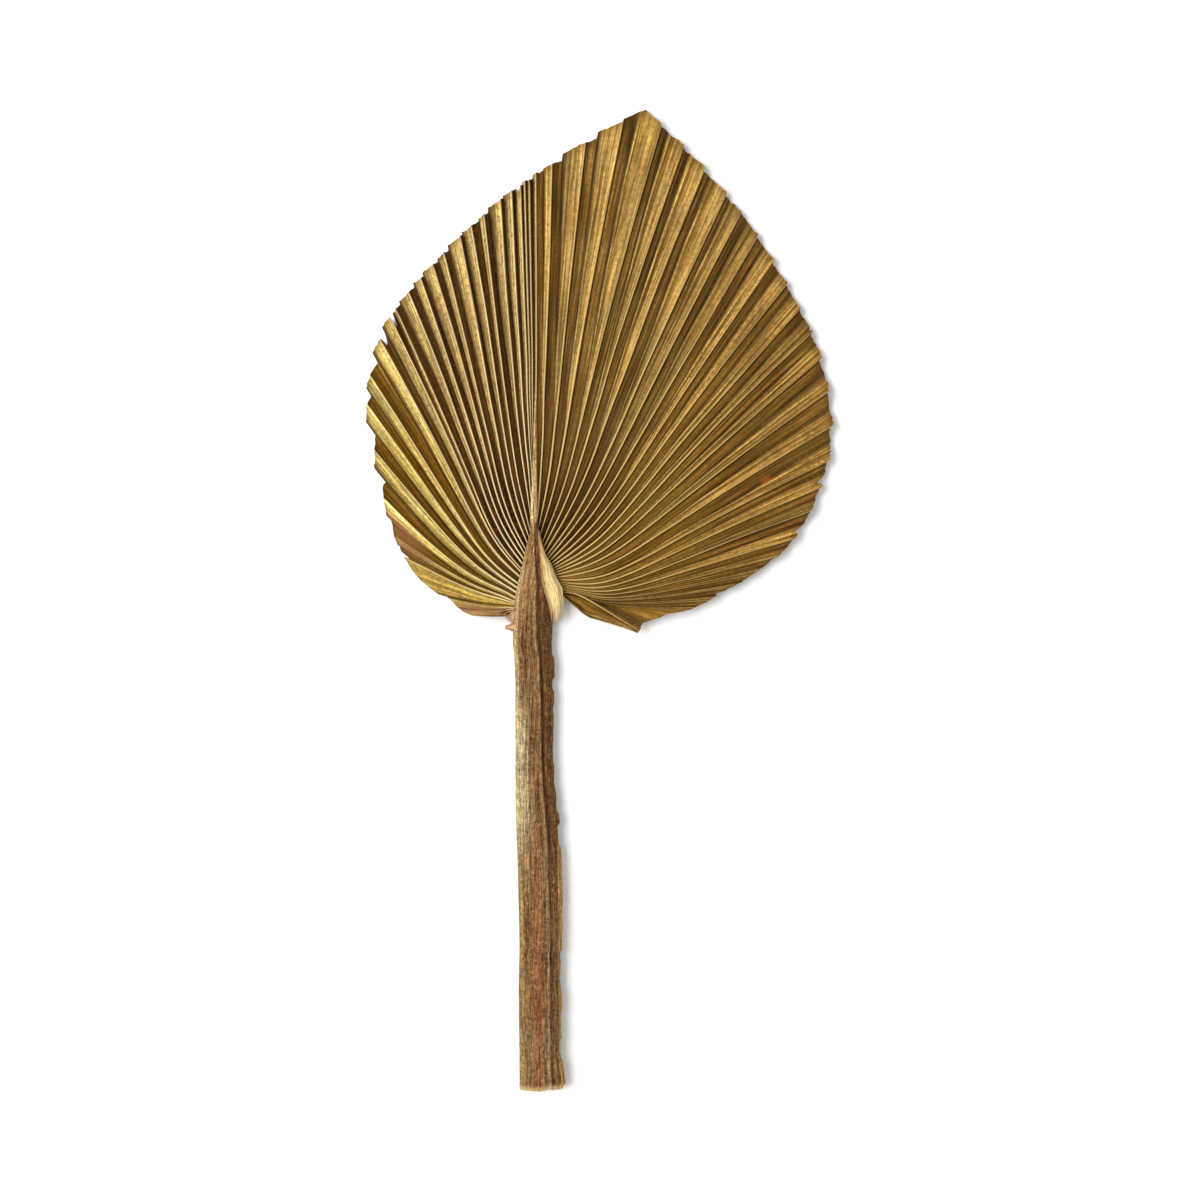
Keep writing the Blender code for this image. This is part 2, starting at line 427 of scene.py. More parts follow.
def pleat_places(pleat, stage, share, middle, t):
    """Where each column lies between its pleat's two crests, and where the pleat's valley lies."""
    at_margin = smooth(middle, *zip(*VALLEY_SHARE)) + 0.07 * drift(12, pleat * 5.3, 0.5) * fade(middle, 0, 8)
    at_hub = smooth(middle, *zip(*VALLEY_SHARE_AT_HUB))
    valley = at_hub + (at_margin - at_hub) * fade(t, 0.42, 1.08)
    minor = smooth(middle, *zip(*MINOR_RIDGE))
    minor = np.maximum(minor, valley + 0.12 * (1 - valley))
    dip = minor + (1 - minor) * 0.4
    stops = np.stack([np.zeros_like(valley), valley, minor, dip, np.ones_like(valley)])
    low = np.take_along_axis(stops, np.broadcast_to(stage, valley.shape)[None], axis=0)[0]
    high = np.take_along_axis(stops, np.broadcast_to(stage + 1, valley.shape)[None], axis=0)[0]
    return low + (high - low) * share, valley


def blade_plan(pleat, start, end, place, valley, t):
    """Bearing and plan position of every point, with wandering folds, the cut and the free edges."""
    middle = (start + end) / 2
    wander = 0.05 * (end - start) * drift(11, pleat * 3.7, t * 5)
    inside = np.sin(np.pi * np.clip(place, 0, 1))
    bearing = start + (end - start) * place
    bearing = bearing + wander * inside + 0.13 * drift(19, bearing / 2.5, t * 7) * fade(t, 0.1, 0.3)
    flat_t = np.broadcast_to(t, bearing.shape)
    length = margin_distance(bearing)
    centre = np.where(middle < TIP_BEARING, np.where(place < valley, start, end), middle)
    cut = trimmed_by(bearing, centre, 21)
    loose = np.where(pleat == 0, 1 - place, 0)
    bearing = bearing + 5 * loose * drift(20, t * 11, 0.5) * fade(t, 0.1, 0.3)
    plan = rib_points(bearing, flat_t + cut / length * flat_t**12)
    folded = np.where(pleat == len(CRESTS), place, 0)
    plan[..., 1] -= FOLD_BULGE * folded * np.clip(1 - np.abs(t - 0.64) / 0.3, 0, 1)
    return bearing, plan


def distances_across(plan, pleat, first):
    """Each pleat's width, and each point's distance across the pleats from the folds near it."""
    gap = np.linalg.norm(np.diff(plan, axis=1), axis=-1)
    across = np.concatenate([np.zeros((ROWS, 1)), np.cumsum(gap, axis=1)], axis=1)
    per_pleat = sum(len(shares) for shares in STAGES)
    crest_before = (pleat - first) * per_pleat
    crest_after = np.minimum(crest_before + per_pleat, len(pleat) - 1)
    valley_at = crest_before + len(FALL)
    past_crest = across - across[:, crest_before]
    return {
        "width_mm": across[:, crest_after] - across[:, crest_before],
        "crest_mm": np.minimum(past_crest, across[:, crest_after] - across),
        "past_crest_mm": past_crest,
        "valley_mm": np.abs(across - across[:, valley_at]),
        "minor_mm": np.abs(across - across[:, valley_at + len(RISE)]),
    }


def fall_and_climb(place, valley):
    """How far each point is from the crest down to the valley, and from there up to the next crest."""
    fall = np.clip(place / valley, 0, 1)
    climb = np.clip((place - valley) / (1 - valley), 0, 1)
    return fall, climb


def height_across(place, valley):
    """Height across a pleat: 1 at its crests, -1 in its valley, hollow between."""
    fall, climb = fall_and_climb(place, valley)
    return np.where(place < valley, 2 * (1 - fall) ** HOLLOWNESS - 1, 2 * climb**HOLLOWNESS - 1)


def minor_ridge(stage, share):
    """1 on the minor ridge, below 0 in the dip after it and 0 at the valley and the crests."""
    heights = [share, 1 - 1.6 * share, -0.6 * (1 - share)]
    return np.select([stage == 1, stage == 2, stage == 3], heights, 0)


def painted_light(place, valley, middle, t):
    """How bright light from the left makes each point, 0 to 1. The material paints it in."""
    fall, climb = fall_and_climb(place, valley)
    in_valley = 0.14 + (0.1 + 0.3 * fade(t, 0.5, 0.85)) * fade(middle, -2, 8)
    soon = 1 - 0.6 * fade(middle, -2, 10)
    brighter = climb ** smooth(middle, *zip(*BRIGHTENING))
    return np.where(place < valley, in_valley * fall**soon, in_valley + (1 - in_valley) * brighter)


def blade_half(name, first, last):
    """The pleats from one crest to another as one thin sheet."""
    folds = np.array((BLADE_EDGES[0],) + CRESTS + (BLADE_EDGES[1],), float)
    pleat, stage, share = pleat_columns(first, last)
    t = np.linspace(0, 1, ROWS)[:, None] ** CROWDING
    start, end = folds[pleat], folds[pleat + 1]
    middle = (start + end) / 2
    place, valley = pleat_places(pleat, stage, share, middle, t)
    bearing, plan = blade_plan(pleat, start, end, place, valley, t)
    flat_t = np.broadcast_to(t, bearing.shape)
    distances = distances_across(plan, pleat, first)
    width, from_crest = distances["width_mm"], distances["crest_mm"]

    steep = smooth(middle, *zip(*STEEPNESS)) * (1 + 0.12 * drift(13, pleat * 2.9, 0.5))
    depth = DEEPEST_PLEAT * np.tanh(steep * width / 2 / DEEPEST_PLEAT)
    lift = LOBE_LIFT * (np.abs(bearing) / 100) ** 2 * flat_t**2
    swell = 0.8 * drift(14, plan[..., 0] / 60, plan[..., 1] / 60) * fade(flat_t, 0.2, 0.6)
    crest_step = 0.35 * drift(15, (pleat + (place > valley)) * 4.1, t * 3) * fade(flat_t, 0.1, 0.5)
    minor_height = smooth(middle, *zip(*MINOR_HEIGHT)) * fade(flat_t, 0.35, 0.8)
    minor_height = minor_height * (1 + 0.5 * drift(16, pleat * 6.7, t * 4))

    side = height_across(place, valley)
    height = MID_HEIGHT + depth / 2 * side + minor_ridge(stage, share) * minor_height + lift + swell
    height = height + crest_step * (side + 1) / 2
    rib = np.exp(-((from_crest / RIB_RADIUS) ** 2)) * fade(width, 0.5, 3.0)
    height = height + RIB_HEIGHT * rib
    fibre = drift(17, (pleat + place) * 9, plan[..., 1] / 30 + plan[..., 0] / 40)
    height = height + 0.10 * fibre * fade(width, 3, 9)
    height = np.maximum(height, SHEET_THICKNESS + 0.05)

    # Painted light and shade from the left, with painted shade in the dip after each minor ridge.
    lit = painted_light(place, valley, middle, t)
    lit = lit - 0.75 * np.clip(minor_height, 0, 1) * np.where(stage == 2, lit, 0)
    grid = np.concatenate([plan, height[..., None]], axis=-1)
    attributes = distances | {
        "depth": (1 - side) / 2,
        "lit": lit,
        "vein": pleat + place,
        "along_mm": np.linalg.norm(plan, axis=-1),
        "open": flat_t,
        "bearing": bearing,
        "face_tone": drift(18, (pleat * 2 + (place > valley)) * 3.3, t * 2.5),
    }
    return make_sheet(name, grid, SHEET_THICKNESS, attributes, BLADE_SHARP)


# The stalk


def even_stalk(y):
    """Left and right edge, underside and top of the stalk at each y, with even edges."""
    sections = np.array(STALK_SECTIONS, float)
    return [smooth(y, sections[:, 0], column) for column in sections[:, 1:].T]


def stalk_edges(y):
    """The same four, with the chips and the ragged edges."""
    left, right, bottom, top = even_stalk(y)
    in_stalk = 1 - fade(y, -30, -10)
    for start, end, out in CHIPS:
        right = right + out * fade(y, end - 0.8, end + 0.8) * (1 - fade(y, start - 1.5, start + 1.5))
    right = right + (0.45 * drift(31, y / 7, 0.5) + 0.25 * drift(32, y / 2.2, 0.5)) * in_stalk
    left = left + (0.12 * drift(33, y / 15, 0.5) + 0.08 * drift(34, y / 2.6, 0.5)) * in_stalk
    return left, right, bottom, top


def stalk_girth(even_x, z, y):
    """Distance round the stalk from its left edge, over the top and below, for the fibres."""
    around_top = np.hypot(np.diff(even_x[:, :ACROSS_TOP]), np.diff(z[:, :ACROSS_TOP]))
    around_top = np.concatenate([0 * y, np.cumsum(around_top, axis=1)], axis=1)
    under_x, under_z = (np.concatenate([v, v[:, :1]], axis=1)[:, ACROSS_TOP:] for v in (even_x, z))
    around_under = np.hypot(np.diff(under_x), np.diff(under_z))
    around_under = np.cumsum(around_under[:, ::-1], axis=1)[:, ::-1]
    return np.concatenate([around_top, around_under], axis=1)


def stalk_relief(beside, groove, share, girth, y):
    """Height of the groove, its shoulder, the fibres and the left rim on the upper face."""
    shoulder = np.exp(-(((beside - 0.13) / 0.08) ** 2))
    coarse = drift(42, girth * 0.56, y / 38)
    fine = drift(43, girth * 1.45, y / 16)
    finest = drift(44, girth * 3.2, y / 7)
    rim = 1 - fade(share, 0.09, 0.16)
    return -0.8 * groove + 0.4 * shoulder + 0.32 * coarse + 0.2 * fine + 0.12 * finest - 0.35 * rim


def tube_faces(rows, around):
    """Four-sided faces between each ring of points and the next."""
    base = np.arange(rows - 1)[:, None] * around + np.arange(around)
    turned = np.arange(rows - 1)[:, None] * around + (np.arange(around) + 1) % around
    return np.stack([base, turned, turned + around, base + around], axis=-1).reshape(-1, 4)


def make_stalk():
    """A tube of oval sections whose upper face carries the groove, the fibres and the left rim."""
    low, high = STALK_SECTIONS[0][0], STALK_SECTIONS[-1][0]
    y = np.linspace(low, high, int((high - low) / STALK_STEP))[:, None]
    left, right, bottom, top = stalk_edges(y)
    even_left, even_right = even_stalk(y)[:2]
    share_top = (1 - np.cos(np.linspace(0, np.pi, ACROSS_TOP))) / 2
    share_under = (1 + np.cos(np.linspace(0, np.pi, ACROSS_UNDER + 2)[1:-1])) / 2
    share = np.concatenate([share_top, share_under])[None, :]
    upper = np.concatenate([np.ones(ACROSS_TOP), -np.ones(ACROSS_UNDER)])[None, :]
    middle, half = (top + bottom) / 2, (top - bottom) / 2
    bulge = (1 - np.abs(2 * share - 1) ** SIDE_SQUARENESS) ** (1 / SIDE_SQUARENESS)
    x = left + (right - left) * share
    strand = (x - even_left) / (even_right - even_left)
    z = middle + half * bulge * upper

    girth = stalk_girth(even_left + (even_right - even_left) * share, z, y)
    groove_at = smooth(y, *zip(*GROOVE_SHARE)) + 0.006 * drift(41, y / 34, 0.5)
    beside = strand - groove_at
    groove = np.exp(-((beside / 0.045) ** 2))
    on_top = (upper > 0) * fade(bulge, 0.0, 0.5)
    narrowing = np.minimum((right - left) / 24, 1)
    z = z + stalk_relief(beside, groove, share, girth, y) * on_top * narrowing
    under_ribs = 0.25 * drift(45, girth * 0.6, y / 50) + 0.1 * drift(46, girth * 2, y / 12)
    z = np.maximum(z - under_ribs * (upper < 0) * bulge * narrowing, 0.02)

    end = low + STALK_STEP * 1.5
    chamfer = np.clip((end - y) / (end - low), 0, 1)
    x = x + ((left + right) / 2 - x) * 0.02 * chamfer
    saw = 0.45 * drift(47, share * 9, 0.5) + 0.3 * drift(48, share * 31, 0.5)
    saw = saw + SAWN_STEP * fade(share, 0.58, 0.64)
    sawn_y = y + saw * np.clip((low + SAW_REACH - y) / SAW_REACH, 0, 1) ** 2

    rows, around = x.shape
    points = np.stack([x, np.broadcast_to(sawn_y, x.shape), z], axis=-1).reshape(-1, 3)
    attributes = {
        "share": strand,
        "girth_mm": girth,
        "along_mm": np.broadcast_to(y, x.shape),
        "underside": np.broadcast_to((1 - upper) / 2, x.shape),
        "groove": groove * on_top,
        "groove_at": np.broadcast_to(groove_at, x.shape),
        "cut": np.zeros_like(x),
    }
    points, attributes, caps = close_ends(points, attributes, rows, around)
    return make_mesh("stalk", points, tube_faces(rows, around).tolist() + caps, attributes, STALK_SHARP)


def close_ends(points, attributes, rows, around):
    """Rings shrinking to a point on the cut end, and one face on the far end."""
    ring = points[:around]
    centre = ring.mean(axis=0)
    faces = []
    previous = np.arange(around)
    for size in CUT_RINGS:
        new = centre + (ring - centre) * size
        new[:, 1] = centre[1] + (ring[:, 1] - centre[1]) * size**2
        pits = 0.5 * drift(51, new[:, 0] * 0.9, new[:, 2] * 0.9)
        pits = pits + 0.4 * drift(52, new[:, 0] * 2.7, new[:, 2] * 2.7)
        new[:, 1] += pits * fade(1 - size, 0.02, 0.1)
        index = len(points) + np.arange(around)
        points = np.concatenate([points, new])
        for key, values in attributes.items():
            flat = np.asarray(values, float).ravel()
            attributes[key] = np.concatenate([flat, flat[:around] if key != "cut" else np.ones(around)])
        after = (np.arange(around) + 1) % around
        faces += np.stack([previous, index, index[after], previous[after]], axis=-1).tolist()
        previous = index
    faces.append(previous[::-1].tolist())
    faces.append((np.arange(around) + (rows - 1) * around).tolist())
    return points, attributes, faces


# The flap and the frayed ends


def make_flap():
    """A pale papery flap, made of strips side by side that come apart and fray at the lower edge."""
    sections = np.array(FLAP_SECTIONS[::-1], float)
    rng = np.random.default_rng(61)
    pieces = []
    cuts = np.linspace(0, 1, FLAP_STRIPS + 1) + np.r_[0, rng.uniform(-0.02, 0.02, FLAP_STRIPS - 1), 0]
    for strip in range(FLAP_STRIPS):
        end = sections[0, 0] + rng.uniform(-0.8, 1.0)
        y = np.linspace(end, sections[-1, 0], 64)[:, None]
        left, right, crown = (smooth(y, sections[:, 0], column) for column in sections[:, 1:].T)
        apart = 1 - fade(y, end, FLAP_SPLITS_BELOW + rng.uniform(-4, 2))
        shrink = 0.5 - 0.34 * apart * rng.uniform(0.5, 1.2)
        middle = (cuts[strip] + cuts[strip + 1]) / 2
        span = cuts[strip + 1] - cuts[strip]
        share = middle + span * shrink * np.linspace(-1, 1, 5)[None, :]
        x = left + (right - left) * share + apart * rng.uniform(-0.25, 0.25)
        arch = 0.6 * (1 - (2 * share - 0.9) ** 2) * np.clip((right - left) / 8, 0, 1)
        droop = 2.2 * fade(share, 0.72, 1.0) * np.clip((right - left) / 8, 0, 1)
        z = crown + arch - droop + 0.35 * drift(62, share * 30, y / 8) + 0.2 * drift(63, share * 60, y / 5)
        z = z + apart * rng.uniform(-0.3, 0.5)
        grid = np.stack([x, np.broadcast_to(y, x.shape), z], axis=-1)
        attributes = {"share": share + 0 * x, "along_mm": y + 0 * x, "frayed": apart + 0 * x}
        pieces.append(make_sheet(f"flap_{strip}", grid, FLAP_THICKNESS, attributes, STALK_SHARP))
    return join_pieces(pieces, "flap")


def make_strand(name, root, turn, bend, length, half_width, height):
    """A tapering strip that starts at root with the heading turn and swings round by bend."""
    s = np.linspace(0, 1, 16)
    course = heading(turn + bend * s**1.3)
    path = np.array(root) + np.cumsum(course, axis=0) * length / len(s)
    side = np.linspace(-1, 1, 7)
    taper = half_width * (1 - 0.65 * s**2) * (1 + 0.25 * drift(72, s * 5, length))
    sideways = heading(turn + 90 + bend * s**1.3)
    plan = path[:, None, :] + sideways[:, None, :] * (taper[:, None] * side)[..., None]
    z = height + 0.7 * (1 - side**2) + (0.4 * np.sin(3 * s + length) * s)[:, None]
    grid = np.concatenate([plan, z[..., None]], axis=-1)
    share = np.broadcast_to(side * 0.5 + 0.5, z.shape)
    frayed = np.broadcast_to(s[:, None], z.shape)
    return make_sheet(name, grid, FRAY_THICKNESS, {"share": share, "frayed": frayed}, STALK_SHARP)


def make_frays():
    """Frayed rib ends, a pinkish scrap and a hooked chip at the stalk's left shoulder."""
    rng = np.random.default_rng(71)
    pieces = []
    for i in range(FRAY_COUNT):
        root = (-12.0, -13.6 - 1.15 * i)
        turn = -92 - 5 * i + rng.uniform(-3, 3)
        length = (8.6 - 0.75 * i) * rng.uniform(0.9, 1.1)
        pieces.append(make_strand(f"fray_{i}", root, turn, -24 - 4 * i, length, 0.6, 7.4 - 0.25 * i))
    pieces.append(make_strand("scrap", (-13.4, -13.5), 186, -14, 9.0, 1.9, 6.6))
    pieces.append(make_strand("hook", (-11.6, -23.6), -104, 22, 6.4, 2.0, 6.4))
    return join_pieces(pieces, "frayed_ends")


def join_pieces(pieces, name):
    """All the pieces as one object."""
    with bpy.context.temp_override(active_object=pieces[0], selected_editable_objects=pieces):
        bpy.ops.object.join()
    pieces[0].name = name
    pieces[0].data.name = name
    return pieces[0]


# Materials


def linear(value):
    """One display value of 0 to 255 as linear light."""
    return ((value / 255 + 0.055) / 1.055) ** 2.4 if value > 10 else value / 255 / 12.92


def srgb(red, green, blue):
    """A colour picked as 0 to 255 display values, as the linear colour that shaders take."""
    return (linear(red), linear(green), linear(blue), 1.0)


class Graph:
    """Short calls for building one material's nodes."""

    def __init__(self, name, roughness):
        self.material = bpy.data.materials.new(name)
        self.material.use_nodes = True
        self.tree = self.material.node_tree
        self.surface = self.tree.nodes["Principled BSDF"]
        self.surface.inputs["Metallic"].default_value = 0.0
        self.surface.inputs["Specular IOR Level"].default_value = SHINE
        self.surface.inputs["Roughness"].default_value = roughness
        self.surface.inputs["Sheen Weight"].default_value = 0.0
        self.place = self.node("ShaderNodeTexCoord").outputs["Object"]

    def node(self, kind, settings=None, **inputs):
        """A new node with its settings, and its inputs fed by name."""
        made = self.tree.nodes.new(kind)
        for key, value in (settings or {}).items():
            setattr(made, key, value)
        for key, value in inputs.items():
            self.feed(made.inputs[key.replace("_", " ")], value)
        return made

    def feed(self, socket, value):
        """Link the socket to another one, or set it to a constant."""
        if isinstance(value, bpy.types.NodeSocket):
            self.tree.links.new(value, socket)
        else:
            socket.default_value = value

    def attribute(self, name):
        """A point attribute of the mesh."""
        return self.node("ShaderNodeAttribute", {"attribute_name": name}).outputs["Fac"]

    def math(self, operation, first, second=0.0):
        """The result of one arithmetic step."""
        made = self.node("ShaderNodeMath", {"operation": operation})
        self.feed(made.inputs[0], first)
        self.feed(made.inputs[1], second)
        return made.outputs[0]

    def plus(self, first, second):
        """The sum."""
        return self.math("ADD", first, second)

    def minus(self, first, second):
        """The difference."""
        return self.math("SUBTRACT", first, second)

    def times(self, first, second):
        """The product."""
        return self.math("MULTIPLY", first, second)

    def over(self, first, second):
        """The quotient."""
        return self.math("DIVIDE", first, second)

    def remap(self, value, low, high, to_low=0.0, to_high=1.0):
        """to_low at low, to_high at high, smooth between."""
        made = self.node("ShaderNodeMapRange", {"interpolation_type": "SMOOTHSTEP"})
        limits = {"Value": value, "From Min": low, "From Max": high, "To Min": to_low, "To Max": to_high}
        for key, number in limits.items():
            self.feed(made.inputs[key], number)
        return made.outputs["Result"]

    def vector(self, x, y, z=0.0):
        """Three values as one vector."""
        made = self.node("ShaderNodeCombineXYZ")
        for socket, value in zip(made.inputs, (x, y, z)):
            self.feed(socket, value)
        return made.outputs[0]

    def noise(self, vector, scale, detail=2.0, roughness=0.5):
        """Noise with so many swells for each unit of the vector."""
        made = self.node("ShaderNodeTexNoise", Vector=vector, Scale=scale, Detail=detail, Roughness=roughness)
        return made.outputs["Fac"]

    def strands(self, across, along, per_across, per_along, detail, roughness):
        """Noise drawn out lengthwise, like fibres."""
        place = self.vector(self.times(across, per_across), self.times(along, per_along))
        return self.noise(place, 1.0, detail, roughness)

    def cells(self, scale):
        """Distance from the nearest of many scattered points."""
        made = self.node("ShaderNodeTexVoronoi", {"feature": "F1"}, Vector=self.place, Scale=scale)
        return made.outputs["Distance"]

    def mix(self, share, first, second, blend="MIX"):
        """The first colour, with a share of the second."""
        made = self.node("ShaderNodeMix", {"data_type": "RGBA", "blend_type": blend})
        self.feed(made.inputs[0], share)
        self.feed(made.inputs[6], first)
        self.feed(made.inputs[7], second)
        return made.outputs[2]

    def scale(self, colour, factor):
        """The colour times a factor."""
        return self.mix(1.0, colour, factor, "MULTIPLY")

    def bump(self, height, strength, distance):
        """Fine relief on the surface."""
        made = self.node("ShaderNodeBump", Height=height, Strength=strength, Distance=distance)
        self.tree.links.new(made.outputs[0], self.surface.inputs["Normal"])

    def finish(self, colour, roughness=None):
        """The material with its colour, and its roughness if that varies."""
        self.tree.links.new(colour, self.surface.inputs["Base Color"])
        if roughness is not None:
            self.tree.links.new(roughness, self.surface.inputs["Roughness"])
        return self.material


class BladeGraph(Graph):
    """A graph that also holds the blade's point attributes, noises and areas."""

    def __init__(self, name, roughness):
        super().__init__(name, roughness)
        self.width = self.attribute("width_mm")
        self.along = self.attribute("along_mm")
        self.opened = self.attribute("open")
        self.bearing = self.attribute("bearing")
        self.lit = self.attribute("lit")
        vein = self.attribute("vein")
        self.streaks = self.strands(vein, self.along, 8.0, 0.012, 2.5, 0.7)
        self.fine = self.strands(vein, self.along, 25.0, 0.03, 2.5, 0.65)
        self.mottle = self.noise(self.place, 420.0, 3.0, 0.75)
        self.right_side = self.remap(self.bearing, -3.0, 4.0)
        self.outer = self.remap(self.opened, 0.58, 0.95)
        self.upper_left = self.between(-40.0, -22.0, -2.0, 2.0)
        self.low_right = self.remap(self.bearing, 25.0, 45.0)
        self.lobe = self.between(-99.0, -96.0, -80.0, -76.0)

    def between(self, start, full_from, full_to, end):
        """1 from one bearing to another, 0 beyond start and end."""
        return self.times(self.remap(self.bearing, start, full_from), self.remap(self.bearing, end, full_to))


def spot(g, place):
    """1 in the middle of a spot on the blade, 0 outside it."""
    at_bearing, degrees, at_distance, length = place
    aside = g.math("ABSOLUTE", g.minus(g.bearing, at_bearing))
    beyond = g.math("ABSOLUTE", g.minus(g.along, at_distance))
    return g.times(g.remap(aside, degrees, degrees * 0.2), g.remap(beyond, length, length * 0.1))


def painted_light_sides(g):
    """Painted light: the colour of the pleats' sides that face the light, a lit copy of the leaf's colour."""
    patches = g.remap(g.noise(g.place, 22.0, 3.0, 0.55), 0.35, 0.65)
    blotch = g.noise(g.place, 11.0, 3.0, 0.5)
    left = g.mix(patches, srgb(212, 198, 122), srgb(204, 180, 100))
    left = g.mix(g.times(g.remap(g.bearing, -58.0, -68.0), 0.7), left, srgb(202, 174, 94))
    left = g.mix(g.times(g.upper_left, 0.7), left, srgb(200, 164, 104))
    right = g.mix(patches, srgb(184, 153, 88), srgb(162, 126, 68))
    right = g.mix(g.remap(blotch, 0.52, 0.66, 0.0, 0.7), right, srgb(152, 123, 56))
    right = g.mix(g.remap(blotch, 0.46, 0.34, 0.0, 0.45), right, srgb(162, 106, 54))
    opening = g.remap(g.opened, 0.4, 0.7, 0.2, 0.85)
    right = g.mix(g.times(g.low_right, opening), right, srgb(138, 102, 50))
    right = g.mix(g.times(g.outer, 0.4), right, srgb(150, 118, 58))
    return g.mix(g.right_side, left, right)


def painted_shade_sides(g):
    """Painted shade: the colour of the pleats' sides that face away from the light, a darker copy of the
    leaf's colour.
    """
    left = g.mix(g.upper_left, srgb(120, 78, 8), srgb(68, 37, 0))
    right = g.mix(g.low_right, srgb(72, 40, 0), srgb(118, 80, 14))
    right = g.mix(g.outer, right, srgb(116, 78, 20))
    return g.mix(g.right_side, left, right)


def with_painted_shade(g, colour):
    """Painted shade: the colour darkened low in the pleats, most of all near the hub, and along each valley.
    """
    near_hub = g.minus(1.0, g.remap(g.along, 20.0, 85.0))
    # Painted shade low in the pleats, strongest near the hub.
    painted_pleat_shade = g.times(g.remap(g.attribute("depth"), 0.0, 0.8), g.plus(0.1, g.times(near_hub, 0.85)))
    painted_pleat_shade = g.times(painted_pleat_shade, g.remap(g.bearing, 35.0, 60.0, 1.0, 0.3))
    painted_pleat_shade = g.times(painted_pleat_shade, g.remap(g.bearing, -18.0, -32.0, 1.0, 0.6))
    painted_pleat_shade = g.times(painted_pleat_shade, g.remap(g.bearing, -52.0, -68.0, 1.0, 0.25))
    painted_pleat_shade = g.times(painted_pleat_shade, g.minus(1.0, g.lobe))
    colour = g.mix(painted_pleat_shade, colour, srgb(30, 15, 4))
    # Painted shade along the bottom of each valley.
    painted_valley_shade = g.minus(1.0, g.remap(g.over(g.attribute("valley_mm"), g.width), 0.02, 0.14))
    return g.mix(g.times(painted_valley_shade, 0.75), colour, srgb(26, 13, 4))


def with_painted_ridge_light(g, colour):
    """A painted shadow as a dark line after each crest of the right half, and a pale painted highlight on
    each minor ridge.
    """
    # Painted shadow just past each crest.
    dark_reach = g.math("MINIMUM", g.times(g.width, 0.3), 1.5)
    shadow = g.remap(g.over(g.attribute("past_crest_mm"), dark_reach), 1.0, 0.6)
    shadow = g.times(shadow, g.times(g.right_side, 0.97))
    colour = g.mix(shadow, colour, srgb(24, 10, 0))
    # Painted highlight along each minor ridge.
    ridge_highlight = g.minus(1.0, g.remap(g.attribute("minor_mm"), 0.3, 0.75))
    opening = g.remap(g.opened, 0.45, 0.65, 0.0, 0.5)
    return g.mix(g.times(ridge_highlight, opening), colour, srgb(204, 172, 100))


def mottled(g, colour):
    """The colour varied from face to face, veined and speckled, with weathered and rusty patches."""
    colour = g.scale(colour, g.remap(g.attribute("face_tone"), -0.8, 0.8, 1.24, 0.78))
    colour = g.scale(colour, g.remap(g.streaks, 0.34, 0.64, 1.42, 0.56))
    colour = g.scale(colour, g.remap(g.fine, 0.35, 0.65, 1.35, 0.6))
    colour = g.scale(colour, g.remap(g.mottle, 0.35, 0.68, 1.16, 0.76))
    weathered = g.remap(g.noise(g.place, 19.0, 3.0, 0.6), 0.5, 0.6)
    weathered = g.times(weathered, g.remap(g.opened, 0.4, 0.6))
    weathered = g.times(g.times(weathered, g.low_right), g.remap(g.mottle, 0.42, 0.58, 0.0, 0.6))
    colour = g.mix(weathered, colour, srgb(104, 82, 36))
    rusty = g.remap(g.mottle, 0.5, 0.62, 0.0, g.remap(g.upper_left, 0.0, 1.0, 0.2, 0.5))
    return g.mix(rusty, colour, srgb(136, 82, 36))


def with_crest_ribs_and_highlight(g, colour):
    """A pale rib line along each crest, partly the rib's own colour and partly a painted highlight, brighter
    on the left half.
    """
    reach = g.math("MINIMUM", g.times(g.width, 0.25), 0.6)
    line = g.remap(g.over(g.attribute("crest_mm"), reach), 1.0, 0.45)
    line = g.times(line, g.remap(g.streaks, 0.2, 0.5, 0.7, 1.0))
    line = g.times(line, g.remap(g.opened, 0.4, 1.0, 1.0, 0.6))
    return g.mix(line, colour, g.mix(g.right_side, srgb(255, 238, 188), srgb(216, 184, 114)))


def with_marks(g, colour):
    """Specks, the withered left margin, the faded spot, the stain, the cut edge, the torn segment."""
    rare = g.times(g.remap(g.noise(g.place, 60.0, 1.0), 0.56, 0.64), 0.7)
    colour = g.mix(g.times(g.remap(g.cells(210.0), 0.16, 0.08), rare), colour, srgb(30, 15, 4))
    grain = g.remap(g.fine, 0.4, 0.6)
    withered = g.times(g.between(-78.0, -75.0, -66.0, -60.0), g.remap(g.opened, 0.75, 0.95, 0.0, 0.6))
    colour = g.mix(withered, colour, g.mix(grain, srgb(166, 124, 82), srgb(120, 80, 48)))
    # A faded yellow spot, partly painted light: it shows only where the painted light brightens the pleats.
    faded = g.times(spot(g, FADED_SPOT), g.times(g.lit, g.remap(g.streaks, 0.56, 0.44)))
    colour = g.mix(g.times(faded, 0.6), colour, srgb(196, 164, 82))
    colour = g.mix(g.times(spot(g, STAIN), 0.42), colour, srgb(176, 88, 44))
    colour = g.mix(g.remap(g.opened, 0.985, 1.0, 0.0, 0.45), colour, srgb(84, 54, 22))
    torn = g.times(g.remap(g.bearing, -99.0, -103.0), 0.7)
    return g.mix(torn, colour, g.mix(grain, srgb(186, 142, 96), srgb(124, 80, 50)))


